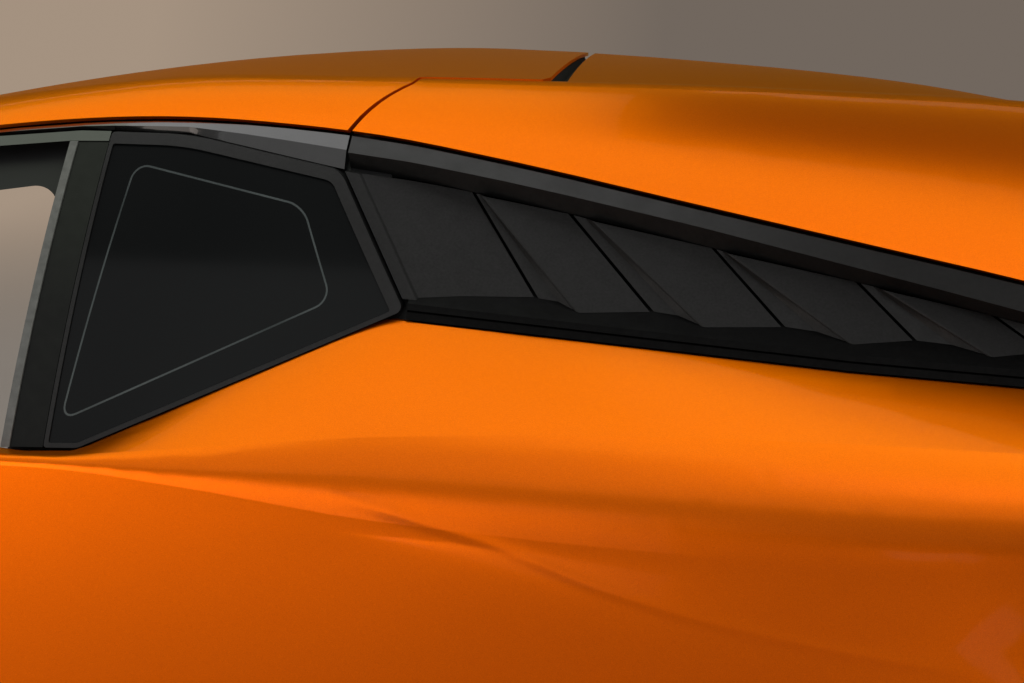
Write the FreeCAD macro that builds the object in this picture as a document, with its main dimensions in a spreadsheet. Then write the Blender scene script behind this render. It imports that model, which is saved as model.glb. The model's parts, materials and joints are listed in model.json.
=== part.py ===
"""Left rear quarter of a mid-engined supercar's body: wing, sail panel, roof side, quarter window and louvred vent.

Sizes are in millimetres. Every piece is drawn in the car's own frame: x runs rearwards from the front edge of
the B-pillar, y runs inboard and is 0 on the car's centre plane, z is the height above the ground.
The pieces are then placed about the chassis flange, whose bolt pattern's centre is the part's origin.
"""
import FreeCAD
import Part
import Sketcher
import math
import os

from FreeCAD import Placement, Rotation, Vector

doc = FreeCAD.newDocument("rear_quarter")

# Driving dimensions, each with its own cell and alias

sheet = doc.addObject("Spreadsheet::Sheet", "Sizes")
SIZES = [
    ("flange_x", 30), ("flange_y", -700), ("flange_z", 480),
    ("glass_radius", 1600), ("glass_taper", 4.0), ("glass_lean", 31.7),
    ("glass_thick", 4.5), ("skin_thick", 4), ("trim_proud", 2), ("frame_depth", 14), ("frame_web", 26),
    ("frame_gauge", 3), ("seat_gap", 0.3), ("panel_gap", 3), ("moulding_width", 11), ("moulding_lip", 9),
    ("moulding_foot", 4),
    ("pillar_front", 0), ("pillar_width", 31), ("seal_width", 8), ("pillar_rise", 11), ("pillar_drop", 19.8),
    ("slat_gauge", 3), ("slat_ridge_depth", 11), ("slat_heel_depth", 24), ("slat_strip_drop", 0.5), ("slit_width", 4),
    ("ledge_reach", 60), ("ledge_rise", 24), ("sill_height", 16), ("rail_undercut", 16), ("back_plate_gauge", 2.5),
    ("axle_x", 1180), ("axle_z", 345), ("arch_radius", 368), ("arch_lip_width", 10), ("arch_lip_thick", 9),
    ("arch_face_y", -974), ("liner_gauge", 4), ("drive_shaft_radius", 95),
    ("wing_foot_z", 300), ("cover_gauge", 4), ("cover_gap", 5),
    ("post_length", 100), ("post_reach", 172), ("post_gauge", 4), ("post_flange", 8), ("post_round", 9),
    ("post_foot_z", 300), ("post_top_z", 790), ("bolt_radius", 5.5), ("bolt_pitch_x", 50), ("bolt_pitch_z", 240),
    ("rail_gauge", 2.5), ("bulkhead_gauge", 3.7), ("shelf_gauge", 3),
    ("intake_front_x", 120), ("intake_rear_x", 520), ("intake_low_z", 372), ("intake_top_z", 585),
    ("intake_depth", 150), ("duct_gauge", 3), ("vane_chord", 62), ("vane_thick", 7), ("vane_pitch", 54),
    ("inner_panel_y", -608), ("inner_panel_gauge", 3), ("tail_reach", 92), ("end_set_back", 44), ("end_panel_gauge", 4),
    ("end_bolt_radius", 4.5), ("end_bolt_pitch_y", 150), ("end_bolt_pitch_z", 220),
    ("striker_z", 640), ("striker_bar", 9), ("striker_reach", 26), ("striker_span", 34), ("striker_plate", 4),
]
for row, (alias, value) in enumerate(SIZES, start=1):
    sheet.set(f"A{row}", alias)
    sheet.set(f"B{row}", str(value))
    sheet.setAlias(f"B{row}", alias)
doc.recompute()


def size(alias):
    """Value of one cell of the sheet."""
    return float(sheet.get(alias))


ORIGIN_SHIFT = Vector(-size("flange_x"), -size("flange_y"), -size("flange_z"))
pieces = []


def keep(obj, label, at=ORIGIN_SHIFT):
    """Names a finished sub-part and places it about the chassis flange."""
    obj.Label = label
    obj.Placement = Placement(at, Rotation())
    pieces.append(obj)
    return obj


def keep_shape(label, shape):
    """A sub-part whose shape comes from Part's own functions."""
    obj = doc.addObject("Part::Feature", label)
    obj.Shape = shape
    return keep(obj, label)


# The side glass is a barrel, as a drop glass has to be: a cylinder that lies along the car and tapers inboard
# towards the tail. Everything beside the glass is set out by its depth behind this surface.

TAPER = math.radians(size("glass_taper"))
LEAN = math.radians(size("glass_lean"))
BELT_Y, BELT_Z = -872, 807
BARREL_Y = BELT_Y + size("glass_radius") * math.cos(LEAN)
BARREL_Z = BELT_Z - size("glass_radius") * math.sin(LEAN)
BARREL_AXIS = Vector(math.cos(TAPER), math.sin(TAPER), 0)
BARREL_START = Vector(0, BARREL_Y, BARREL_Z) - BARREL_AXIS * 2500
OUTBOARD, INBOARD = -1100, 0


def on_glass(x, z, depth=0.0):
    """Point at station x, behind height z of the glass surface by a depth along its normal."""
    radius = size("glass_radius")
    rise = z - BARREL_Z
    run = math.sqrt(radius ** 2 - rise ** 2)
    share = (radius - depth) / radius
    return Vector(x, BARREL_Y + x * math.tan(TAPER) - run * share / math.cos(TAPER), BARREL_Z + rise * share)


def behind(x, z, depth):
    """Point at station x and height z, a depth behind the glass surface."""
    radius = size("glass_radius") - depth
    run = math.sqrt(radius ** 2 - (z - BARREL_Z) ** 2)
    return Vector(x, BARREL_Y + x * math.tan(TAPER) - run / math.cos(TAPER), z)


def polygon(points):
    """Closed wire through the points."""
    return Part.makePolygon(list(points) + [points[0]])


def side_view(*points):
    """Side-view points as vectors."""
    return [Vector(x, 0, z) for x, z in points]


def rounded(corners):
    """Closed side-view wire from corners (x, z, radius), with an arc at each corner that has a radius."""
    edges = []
    spots = [Vector(x, 0, z) for x, z, _ in corners]
    trims = []
    for i, (_, _, radius) in enumerate(corners):
        before = (spots[i - 1] - spots[i]).normalize()
        after = (spots[(i + 1) % len(spots)] - spots[i]).normalize()
        half = before.getAngle(after) / 2
        reach = radius / math.tan(half)
        middle = (before + after).normalize() * (radius / math.sin(half) - radius) if radius else Vector()
        trims.append((spots[i] + before * reach, spots[i] + middle, spots[i] + after * reach, radius))
    for i, (start, middle, end, radius) in enumerate(trims):
        if radius:
            edges.append(Part.Arc(start, middle, end).toShape())
        edges.append(Part.LineSegment(end, trims[(i + 1) % len(trims)][0]).toShape())
    return Part.Wire(edges)


def face_of(outer, *holes):
    """Side-view face inside one wire and outside others."""
    face = Part.Face(outer)
    for hole in holes:
        face = face.cut(Part.Face(hole))
    return face


def inset(wire, distance):
    """Side-view wire moved inwards by a distance, or outwards if the distance is negative."""
    return wire.makeOffset2D(-distance)


def side_prism(face, y_from=OUTBOARD, y_to=INBOARD):
    """Side-view face stretched between two widths."""
    moved = face.copy()
    moved.translate(Vector(0, y_from, 0))
    return moved.extrude(Vector(0, y_to - y_from, 0))


def barrel(depth):
    """Solid cylinder whose face lies the given depth behind the glass surface."""
    return Part.makeCylinder(size("glass_radius") - depth, 5000, BARREL_START, BARREL_AXIS)


def barrel_sheet(face, outer_depth, inner_depth):
    """Shape of a curved sheet that follows the glass between two depths, trimmed by a side-view face."""
    return side_prism(face).common(barrel(outer_depth)).cut(barrel(inner_depth))


def prism_object(name, face):
    """Side-view face stretched through the left half of the body, as a Part extrusion."""
    outline = doc.addObject("Part::Feature", f"{name}_outline")
    outline.Shape = face.translated(Vector(0, OUTBOARD, 0))
    prism = doc.addObject("Part::Extrusion", f"{name}_prism")
    prism.Base = outline
    prism.DirMode = "Custom"
    prism.Dir = Vector(0, 1, 0)
    prism.LengthFwd = INBOARD - OUTBOARD
    prism.Solid = True
    return prism


def barrel_object(name, depth):
    """Part cylinder at a depth behind the glass, with the depth given as an expression of the sheet's sizes."""
    cylinder = doc.addObject("Part::Cylinder", name)
    cylinder.setExpression("Radius", f"Sizes.glass_radius - ({depth})")
    cylinder.Height = 5000
    cylinder.Placement = Placement(BARREL_START, Rotation(Vector(0, 0, 1), BARREL_AXIS))
    return cylinder


def boolean(kind, name, base, tool):
    """Part boolean of two objects."""
    result = doc.addObject(kind, name)
    result.Base = base
    result.Tool = tool
    return result


def layer(name, face, outer_depth, inner_depth):
    """The same curved sheet as a tree of Part objects, its depths given as expressions."""
    prism, front = prism_object(name, face), barrel_object(f"{name}_front", outer_depth)
    outside = boolean("Part::Common", f"{name}_outside", prism, front)
    return boolean("Part::Cut", f"{name}_layer", outside, barrel_object(f"{name}_back", inner_depth))


TAIL_X = size("axle_x") + size("arch_radius") + size("tail_reach")
END_PANEL_X = TAIL_X - size("end_set_back")

# Feature lines of the body, seen from the side: the roof edge is the lower edge of the painted roof and sail,
# the waist is the upper edge of the wing.

# station x, roof edge z, crest y, crest z, crown of the side above its chord, height on the centre plane
UPPER_LINES = [
    (-330, 1060, -553, 1090, 7, 1082), (-130, 1096, -548, 1126, 8, 1128), (75, 1110, -545, 1149, 8, 1155),
    (277, 1097, -545, 1149, 8, 1165), (440, 1070, -532, 1147, 11, 1160), (630, 1031, -508, 1143, 18, 1147),
    (800, 996, -487, 1136, 24, 1131), (940, 967, -472, 1129, 27, 1111), (1180, 912, -472, 1105, 30, 1062),
    (1420, 853, -488, 1059, 32, 990), (TAIL_X, 834, -514, 1005, 30, 920),
]
# corners of the waist: x, z, corner radius
WAIST = [(62, 815, 25), (338, 930, 45), (777, 889, 0), (1420, 843, 0), (1720, 815, 0)]


def between(table, x, column):
    """Value of a column of a station table, straight between its stations."""
    for low, high in zip(table, table[1:]):
        if low[0] <= x <= high[0]:
            return low[column] + (high[column] - low[column]) * (x - low[0]) / (high[0] - low[0])
    return table[0][column] if x < table[0][0] else table[-1][column]


def smooth(table, x, column):
    """Value of a column of a station table on a smooth curve through its stations."""
    last = len(table) - 1
    i = max(k for k in range(last) if table[k][0] <= x or k == 0)

    def slope(k):
        low, high = max(k - 1, 0), min(k + 1, last)
        return (table[high][column] - table[low][column]) / (table[high][0] - table[low][0])

    start, end = table[i], table[i + 1]
    span = end[0] - start[0]
    t = (x - start[0]) / span
    rise = start[column] * (2 * t ** 3 - 3 * t ** 2 + 1) + end[column] * (3 * t ** 2 - 2 * t ** 3)
    return rise + span * (slope(i) * (t ** 3 - 2 * t ** 2 + t) + slope(i + 1) * (t ** 3 - t ** 2))


def roof_edge(x):
    """Height of the roof edge at a station."""
    return smooth(UPPER_LINES, x, 1)


def waist(x):
    """Height of the waist at a station."""
    return between(WAIST, x, 1)


def bowed(start, end, bow):
    """Middle of an arc from start to end, in a section plane, that stands off the chord by the bow."""
    chord = end - start
    outwards = Vector(0, -chord.z, chord.y).normalize()
    return (start + end) * 0.5 + outwards * bow


def moved_in(points, distance):
    """Section points moved inwards, each along the mean of its neighbours' normals."""
    normals = []
    for start, end in zip(points, points[1:]):
        chord = (end - start).normalize()
        normals.append(Vector(0, chord.z, -chord.y))
    inner = [points[0] + normals[0] * distance]
    for spot, first, second in zip(points[1:], normals, normals[1:]):
        mean = (first + second).normalize()
        inner.append(spot + mean * (distance / mean.dot(first)))
    inner.append(points[-1] + normals[-1] * distance)
    return inner


def bowed_run(start, end, bow, shares):
    """Points on a bowed line from start to end, at shares of its length."""
    chord = end - start
    outwards = Vector(0, -chord.z, chord.y).normalize()
    return [start + chord * t + outwards * (4 * bow * t * (1 - t)) for t in shares]


def even(first, last, count):
    """Evenly spaced shares."""
    return [first + (last - first) * k / (count - 1) for k in range(count)]


def soft_path(corners, bows, rolls, counts):
    """Runs of points on bowed lines through the corners; each inner corner keeps its reach free for a soft bend."""
    runs = []
    for i, (start, end) in enumerate(zip(corners, corners[1:])):
        length = (end - start).Length
        lead = rolls[i - 1] / length if i else 0
        tail = rolls[i] / length if i < len(rolls) else 0
        runs.append(bowed_run(start, end, bows[i], even(lead, 1 - tail, counts[i])))
    return runs, corners[1:-1]


def line(start, end):
    """Straight edge."""
    return Part.LineSegment(start, end).toShape()


def spline(points, start=None, end=None, steps=None):
    """Smooth edge through points, aimed away from a corner at its start and at a corner at its end. Sections of one
    skin share their steps, so that their splines match."""
    steps = steps or [1.0] * (len(points) - 1)
    total = [float(sum(steps[:k])) for k in range(len(points))]
    leave = points[0] - start if start else points[1] - points[0]
    arrive = end - points[-1] if end else points[-1] - points[-2]
    first, last = (points[1] - points[0]).Length / steps[0], (points[-1] - points[-2]).Length / steps[-1]
    curve = Part.BSplineCurve()
    curve.interpolate(Points=points, Parameters=total, InitialTangent=leave.normalize() * first,
                      FinalTangent=arrive.normalize() * last)
    return curve.toShape()


def bend(start, corner, end):
    """Soft bend round a corner, tangent to both its legs."""
    curve = Part.BezierCurve()
    curve.setPoles([start, corner, end])
    return curve.toShape()


def path_edges(runs, corners, steps=None):
    """Edges through runs of points, joined by soft bends at the corners. Steps belong to the first run."""
    edges = []
    for i, run in enumerate(runs):
        before = corners[i - 1] if i else None
        after = corners[i] if i < len(corners) else None
        if i:
            edges.append(bend(runs[i - 1][-1], before, run[0]))
        edges.append(line(*run) if len(run) == 2 else spline(run, before, after, None if i else steps))
    return edges


def moved_path(runs, corners, distance, foot=()):
    """Runs, corners and foot of a path moved inwards."""
    flat = []
    for i, run in enumerate(runs):
        flat += ([corners[i - 1]] if i else []) + run
    moved = moved_in(flat + list(foot), distance)
    inner_runs, inner_corners = [], []
    for i, run in enumerate(runs):
        if i:
            inner_corners.append(moved.pop(0))
        inner_runs.append(moved[:len(run)])
        moved = moved[len(run):]
    return inner_runs, inner_corners, moved


def skin_section(path, gauge, foot=(), steps=None):
    """Closed section wire of a skin: the outer path, any straight foot after it, and the same moved inwards."""
    runs, corners = path
    inner_runs, inner_corners, inner_foot = moved_path(runs, corners, gauge, foot)
    outer_line = [runs[-1][-1]] + list(foot)
    inner_line = [inner_runs[-1][-1]] + inner_foot
    edges = path_edges(runs, corners, steps)
    edges += [line(start, end) for start, end in zip(outer_line, outer_line[1:])]
    edges.append(line(outer_line[-1], inner_line[-1]))
    edges += [line(end, start) for start, end in reversed(list(zip(inner_line, inner_line[1:])))]
    edges += list(reversed(path_edges(inner_runs, inner_corners, steps)))
    edges.append(line(inner_runs[0][0], runs[0][0]))
    return Part.Wire(edges)


def loft(sections, ruled=False):
    """Closed solid through section wires."""
    return Part.makeLoft(sections, True, ruled)


# Seam between roof and sail, seen from above: it climbs the side, runs back along the crest, then crosses the roof.
# x, y, corner radius
SEAM = [
    (262, -760, 0), (262, -652, 0), (271, -630, 14), (326, -556, 16), (330, -530, 8), (458, -521, 5), (464, -500, 8),
    (457, -200, 0), (452, 20, 0),
]


def seam_prism(gap):
    """Everything ahead of the roof seam, moved back by a gap."""
    corners = [(x + gap, y - gap, radius) for x, y, radius in SEAM]
    outline = rounded(corners + [(-600, 20, 0), (-600, -760, 0)])
    outline.rotate(Vector(), Vector(1, 0, 0), -90)
    outline.translate(Vector(0, 0, 700))
    return Part.Face(outline).extrude(Vector(0, 0, 600))


def side_points(x):
    """Roof edge and crest of the section at a station."""
    edge = on_glass(x, roof_edge(x), -size("panel_gap"))
    return edge, Vector(x, smooth(UPPER_LINES, x, 2), smooth(UPPER_LINES, x, 3))


def crest_bend(x):
    """Reach of the crest's soft bend at a station."""
    return 13 + max(0, x - 300) * 0.02


SIDE_COUNT = 6

# Roof side panel: left half of the roof skin, from the roof edge over the crest to the centre plane

ROOF_STATIONS = [-330, -260, -190, -120, -50, 20, 90, 160, 220, 280, 340, 400, 480]


def roof_path(x):
    """Outer path of the roof's section."""
    edge, crest = side_points(x)
    centre = Vector(x, 0, smooth(UPPER_LINES, x, 5))
    return soft_path([edge, crest, centre], [smooth(UPPER_LINES, x, 4), 5], [crest_bend(x)], [SIDE_COUNT, 6])


sections = [skin_section(roof_path(x), size("skin_thick")) for x in ROOF_STATIONS]
keep_shape("roof_side_panel", loft(sections).common(seam_prism(0)))

# Sail panel: skin from the roof edge over the crest, down its inboard wall, then a ledge that the engine cover lies on

# station x, shoulder y and z and wall foot y and z, all measured from the crest
SAIL_INNER = [
    (230, 24, -2, 42, -12), (340, 25, -2, 44, -12), (440, 28, -3, 48, -12), (550, 34, -4, 58, -26),
    (680, 44, -6, 76, -48), (820, 52, -8, 92, -66), (960, 58, -9, 104, -80), (1180, 62, -10, 111, -91),
    (1420, 62, -10, 108, -84), (TAIL_X, 60, -10, 100, -70),
]
SAIL_STATIONS = [230, 270, 310, 350, 400, 450, 510, 580, 650, 720, 800, 890, 980, 1080, 1180, 1300, 1420, 1530, TAIL_X]
LEDGE_WIDTH, LEDGE_FALL = 22, 1


def wall_foot(x):
    """Foot of the sail's inboard wall, where the engine cover's ledge starts."""
    _, crest = side_points(x)
    return crest + Vector(0, smooth(SAIL_INNER, x, 3), smooth(SAIL_INNER, x, 4))


def sail_path(x):
    """Outer path of the sail's section down to the foot of its inboard wall."""
    edge, crest = side_points(x)
    shoulder = crest + Vector(0, smooth(SAIL_INNER, x, 1), smooth(SAIL_INNER, x, 2))
    corners = [edge, crest, shoulder, wall_foot(x)]
    return soft_path(corners, [smooth(UPPER_LINES, x, 4), 0, 0.5], [crest_bend(x), 7], [SIDE_COUNT, 2, 3])


def sail_section(x):
    """Closed section of the sail with its ledge."""
    ledge_end = wall_foot(x) + Vector(0, LEDGE_WIDTH, -LEDGE_FALL)
    return skin_section(sail_path(x), size("skin_thick"), [ledge_end])


keep_shape("sail_panel", loft([sail_section(x) for x in SAIL_STATIONS]).cut(seam_prism(size("panel_gap"))))

# Engine cover: left half of the lid between the sails, seated on the sail's ledge


def cover_section(x):
    """Closed section of the cover: a straight seat over the ledge, then a dome up to the centre plane."""
    lift = size("seat_gap") + size("cover_gauge")
    outer = wall_foot(x) + Vector(0, size("cover_gap"), lift)
    dome_start = wall_foot(x) + Vector(0, LEDGE_WIDTH + 4, lift - LEDGE_FALL)
    centre = Vector(x, 0, smooth(UPPER_LINES, x, 5))
    dome = bowed_run(dome_start, centre, (centre.z - dome_start.z) * 0.22, even(0, 1, 8))
    fall = Vector(0, 0, -size("cover_gauge"))
    under = [point + fall for point in dome]
    edges = [line(outer, dome[0]), spline(dome), line(dome[-1], under[-1]), spline(under[::-1])]
    edges += [line(under[0], outer + fall), line(outer + fall, outer)]
    return Part.Wire(edges)


COVER_FRONT_GAP = 9
cover = loft([cover_section(x) for x in SAIL_STATIONS if x >= 450 - 60])
cover = cover.cut(seam_prism(COVER_FRONT_GAP))
tail_cut = Part.makeBox(400, 800, 800, Vector(1450, -780, 700))
keep_shape("engine_cover", cover.cut(tail_cut))


# Cant rail: a box section under roof and sail, in two lengths, that the skins are bonded to

def rail_box(x, margin):
    """Section of the box under the skin, drawn in by a margin."""
    edge, crest = side_points(x)
    foot_z = edge.z + 1 + margin
    start = min(0.4, 13.5 / (crest.z - edge.z))
    side = bowed_run(edge, crest, smooth(UPPER_LINES, x, 4), even(start, 0.78, 8))
    face = moved_in(side, size("skin_thick") + 3 * size("seat_gap") + margin)
    low = face[0]
    inner_y = face[-1].y + 10 - margin
    wall_top = Vector(x, inner_y, face[-1].z - 1)
    corners = [Vector(x, inner_y, foot_z), Vector(x, low.y - 1, foot_z), low]
    edges = [line(corners[0], corners[1]), line(corners[1], low), spline(face)]
    edges += [line(face[-1], wall_top), line(wall_top, corners[0])]
    return Part.Wire(edges)


def rail_tube(stations):
    """Hollow box section through stations."""
    walls = loft([rail_box(x, 0) for x in stations])
    return walls.cut(loft([rail_box(x, size("rail_gauge")) for x in stations]))


keep_shape("roof_cant_rail", rail_tube(ROOF_STATIONS).common(seam_prism(-8)))
keep_shape("sail_cant_rail", rail_tube(SAIL_STATIONS).cut(seam_prism(-7)))

# Rear wing: upper surface, shoulder crease and side, trimmed by the waist, door line, wheel arch and intake

# station x, crease y and z, foot y, bow of the upper surface, bow of the side, reach of the crease's bend
WING = [
    (-140, -903, 818, -885, 1, -8, 9), (62, -915, 820, -893, 1, -8, 11), (200, -919, 818, -896, 3, -8, 24),
    (355, -924, 815, -900, 8, -8, 42), (650, -937, 817, -912, 7, -8, 62), (940, -953, 823, -944, 5, -8, 66),
    (1180, -961, 826, -955, 4, -6, 52), (1420, -950, 822, -930, 4, -8, 56), (TAIL_X, -915, 812, -885, 4, -8, 50),
]
# soft line that sweeps down the side and swells into the flare over the wheel: station x, height, stand-off
BODY_LINE = [
    (-140, 690, 0), (62, 712, 0), (200, 730, 0), (330, 742, 0), (431, 738, 1.5), (524, 720, 2.5), (640, 690, 3),
    (770, 660, 3), (860, 648, 8), (940, 655, 14), (1060, 712, 11), (1180, 748, 7), (1300, 735, 8), (1420, 690, 11),
    (1530, 655, 7), (TAIL_X, 640, 3),
]
WING_STATIONS = [
    -140, -100, -60, -20, 10, 35, 52, 68, 88, 120, 165, 220, 290, 355, 430, 520, 600, 680, 760, 830, 890, 950, 1010, 1070,
    1130, 1180, 1240, 1300, 1360, 1420, 1480, 1560, TAIL_X,
]
# share of the height up to the body line, then from it to the crease's bend, with the share of the stand-off
SIDE_BELOW = [(0, 0), (0.35, 0.05), (0.7, 0.4), (1, 1)]
SIDE_ABOVE = [(0.5, 0.35), (1, 0)]


def wing_path(x):
    """Outer path of the wing's section; the upper surface crosses the glass surface at the waist."""
    crease_y, crease_z, foot_y, deck_bow, side_bow, roll = [smooth(WING, x, column) for column in range(1, 7)]
    foot, crease = Vector(x, foot_y, size("wing_foot_z")), Vector(x, crease_y, crease_z)
    at_waist = on_glass(x, min(waist(x), 927), -0.5)
    reach = (at_waist - crease).Length
    along = (at_waist - crease).normalize()
    sink = Vector(0, along.z, -along.y) * (4 * deck_bow * 14 / (reach + 14))
    side, height = crease - foot, crease_z - foot.z
    low_share = (smooth(BODY_LINE, x, 1) - foot.z) / height
    top_share = 1 - roll / height
    shares = [(t * low_share, stand) for t, stand in SIDE_BELOW]
    shares += [(low_share + t * (top_share - low_share), stand) for t, stand in SIDE_ABOVE]
    stand_off = smooth(BODY_LINE, x, 2)
    side_run = []
    for t, stand in shares:
        side_run.append(foot + side * t - Vector(0, 4 * side_bow * t * (1 - t) + stand_off * stand, 0))
    deck_end = at_waist + along * 14 + sink
    deck = bowed_run(crease, deck_end, deck_bow, even(roll / (deck_end - crease).Length, 1, 5))
    return [side_run, deck], [crease]


SIDE_STEPS = [135, 135, 117, 40, 40]
wing = loft([skin_section(wing_path(x), size("skin_thick"), (), SIDE_STEPS) for x in WING_STATIONS])
waist_corners = [(-300, 798, 0), (-15, 798, 0), (45, 806, 0)] + WAIST + [(1720, 1200, 0), (-300, 1200, 0)]
wing = wing.cut(side_prism(Part.Face(rounded(waist_corners))).common(barrel(-size("trim_proud") - 0.5)))
# door shut line: it runs forwards as it drops, then straight down
door_corners = [(-5, 860, 0), (-95, 690, 140), (-95, 200, 0), (-400, 200, 0), (-400, 860, 0)]
wing = wing.cut(side_prism(Part.Face(rounded(door_corners))))


def arch_cylinder(radius, y_from, y_to):
    """Cylinder about the wheel's axle between two widths."""
    start = Vector(size("axle_x"), y_from, size("axle_z"))
    return Part.makeCylinder(radius, y_to - y_from, start, Vector(0, 1, 0))


def outside_wing(margin):
    """Everything outboard of the wing's side, moved in by a margin."""
    sections = []
    for x in WING_STATIONS:
        (side_run, deck), (corner,), _ = moved_path(*wing_path(x), margin)
        far = [Vector(x, -1100, deck[0].z), Vector(x, -1100, side_run[0].z)]
        edges = [spline(side_run, None, corner, SIDE_STEPS), bend(side_run[-1], corner, deck[0])]
        edges += [line(deck[0], far[0]), line(far[0], far[1]), line(far[1], side_run[0])]
        sections.append(Part.Wire(edges))
    return loft(sections)


arch_inside = arch_cylinder(size("arch_radius"), -1100, -500)
lip_face = size("arch_face_y")
lip_zone = outside_wing(size("skin_thick") + size("arch_lip_width"))
lip_outer = size("arch_radius") + size("arch_lip_thick")
low_zone = Part.makeBox(3000, 600, 400, Vector(-500, -1100, size("wing_foot_z") - 396))
lip = arch_cylinder(lip_outer, lip_face, -850).cut(arch_inside).cut(low_zone).common(lip_zone)
wing = wing.cut(arch_inside).fuse(lip).removeSplitter()

intake_low, intake_top = size("intake_low_z"), size("intake_top_z")
intake_front, intake_rear = size("intake_front_x"), size("intake_rear_x")
INTAKE = [
    (intake_front, intake_top, 22), (intake_front + 60, intake_low, 26),
    (intake_rear - 60, intake_low, 30), (intake_rear, intake_top, 26),
]
intake_wire = rounded(INTAKE)
wing = wing.cut(side_prism(Part.Face(intake_wire)))
keep_shape("rear_wing_panel", wing)

# Quarter window: curved pane in a moulded frame, with the B-pillar cover and its edge seal in front

pillar_front = size("pillar_front")
pillar_rear = pillar_front + size("pillar_width")
pillar_foot = BELT_Z + size("pillar_rise")
pillar_top = roof_edge(0) - size("pillar_drop")
# x, z, corner radius
WINDOW = [
    (pillar_rear + 1, pillar_foot, 3), (64, pillar_foot, 20), (355, 938, 6), (273, 1062, 30), (110, 1095, 300),
    (pillar_rear + 1, pillar_top + 9, 3),
]


def drawn_in(corners, widths):
    """Corners of an outline whose sides are each moved in by their own width."""
    moved = []
    count = len(corners)
    for i, (x, z, radius) in enumerate(corners):
        ends = []
        for first, second, width in ((i - 1, i, widths[i - 1]), (i, (i + 1) % count, widths[i])):
            start, end = Vector(*corners[first][:2], 0), Vector(*corners[second][:2], 0)
            normal = Vector(start.y - end.y, end.x - start.x, 0).normalize()
            ends.append((normal, normal.dot(start) + width))
        (n1, c1), (n2, c2) = ends
        across = n1.x * n2.y - n1.y * n2.x
        spot = ((c1 * n2.y - c2 * n1.y) / across, (n1.x * c2 - n2.x * c1) / across)
        moved.append((*spot, max(radius - max(widths[i - 1], widths[i]), 2)))
    return moved


foot_width, full_width = size("moulding_foot"), size("moulding_width")
SIGHT_WIDTHS = [foot_width, foot_width, full_width, full_width, full_width, foot_width]
window_wire = rounded(WINDOW)
pane_wire = inset(window_wire, size("moulding_width") - size("moulding_lip"))
sight_wire = rounded(drawn_in(WINDOW, SIGHT_WIDTHS))
bed_wire = inset(window_wire, size("moulding_width") + size("moulding_lip"))
seat = size("seat_gap")
SEAT_DEPTH = "Sizes.frame_depth - Sizes.seat_gap"
keep(layer("quarter_glass", Part.Face(pane_wire), "0", "Sizes.glass_thick"), "quarter_glass")

lip_ring = layer("moulding_lip", face_of(window_wire, sight_wire), "-Sizes.trim_proud", "-Sizes.seat_gap / 3")
edge_face = face_of(window_wire, inset(pane_wire, -seat))
edge_ring = layer("moulding_edge", edge_face, "-Sizes.trim_proud", SEAT_DEPTH)
bed_face = face_of(window_wire, bed_wire)
bed_ring = layer("moulding_bed", bed_face, "Sizes.glass_thick + Sizes.seat_gap / 3", SEAT_DEPTH)
moulding = doc.addObject("Part::MultiFuse", "moulding_rings")
moulding.Shapes = [lip_ring, edge_ring, bed_ring]
moulding.Refine = True
keep(moulding, "glass_moulding")


def side_box(x_from, x_to, z_from, z_to):
    """Side-view rectangle."""
    return Part.Face(polygon(side_view((x_from, z_from), (x_to, z_from), (x_to, z_to), (x_from, z_to))))


seal_front = pillar_front - seat - size("seal_width")
pillar_face = side_box(pillar_front, pillar_rear, pillar_foot, pillar_top)
keep(layer("pillar_cover", pillar_face, "-1", SEAT_DEPTH), "b_pillar_cover")
seal_face = side_box(seal_front, pillar_front - seat, pillar_foot, pillar_top)
keep(layer("pillar_seal", seal_face, "-3", SEAT_DEPTH), "b_pillar_seal")

# Side frame: a pressed frame behind glass and louvres, open inboard, with a flange round every edge

FRAME_STATIONS = [-330, -230, -130, -30, 75, 175, 277, 360, 440, 630, 800, 940, 1060, 1180, 1300, 1420]
frame_top = [(x, roof_edge(x) + 0.7, 0) for x in FRAME_STATIONS]
FRAME_LOW = [
    (1420, 812, 0), (777, 850, 0), (338, 886, 0), (92, size("post_top_z"), 40), (seal_front, size("post_top_z"), 0),
    (seal_front, 1048, 30), (-330, 1008, 0),
]
frame_wire = rounded(frame_top + FRAME_LOW)
aperture_top = [(x, roof_edge(x) - 24, 0) for x in (1150, 940, 800, 630, 440)]
VENT_APERTURE = [(318, 1064, 0), (357, 940.5, 0), (777, 901, 0), (1150, 874, 0)] + aperture_top
vent_wire = rounded(VENT_APERTURE)
window_hole = inset(bed_wire, 2)
gauge, front_depth = size("frame_gauge"), size("frame_depth")
web_depth = front_depth + size("frame_web")
frame = barrel_sheet(face_of(frame_wire, window_hole, vent_wire), front_depth, web_depth)
hollow_face = face_of(inset(frame_wire, gauge), inset(window_hole, -gauge), inset(vent_wire, -gauge))
keep_shape("side_frame", frame.cut(barrel_sheet(hollow_face, front_depth + gauge, web_depth + 5)))
frame_block = barrel_sheet(face_of(frame_wire, window_hole, vent_wire), front_depth - 0.2, web_depth)

# Drip strip over the door, in line with the window moulding

strip_foot = pillar_top + seat
drip_top = side_view((pillar_rear, pillar_top + 9.5), (pillar_front, pillar_top + 10), (-130, 1089), (-330, 1049))
drip_low = side_view((-330, 1039.5), (-130, 1079.5), (seal_front, strip_foot), (pillar_rear, strip_foot))
keep(layer("drip", Part.Face(polygon(drip_top + drip_low)), "-Sizes.trim_proud", SEAT_DEPTH), "door_drip_strip")


# Mouldings that run along the body: each is a ruled loft of one profile over stations

def run_moulding(stations, profile):
    """Ruled loft of a profile function over stations."""
    return loft([polygon(profile(x)) for x in stations], ruled=True)


BASE = front_depth - 0.5
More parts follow.
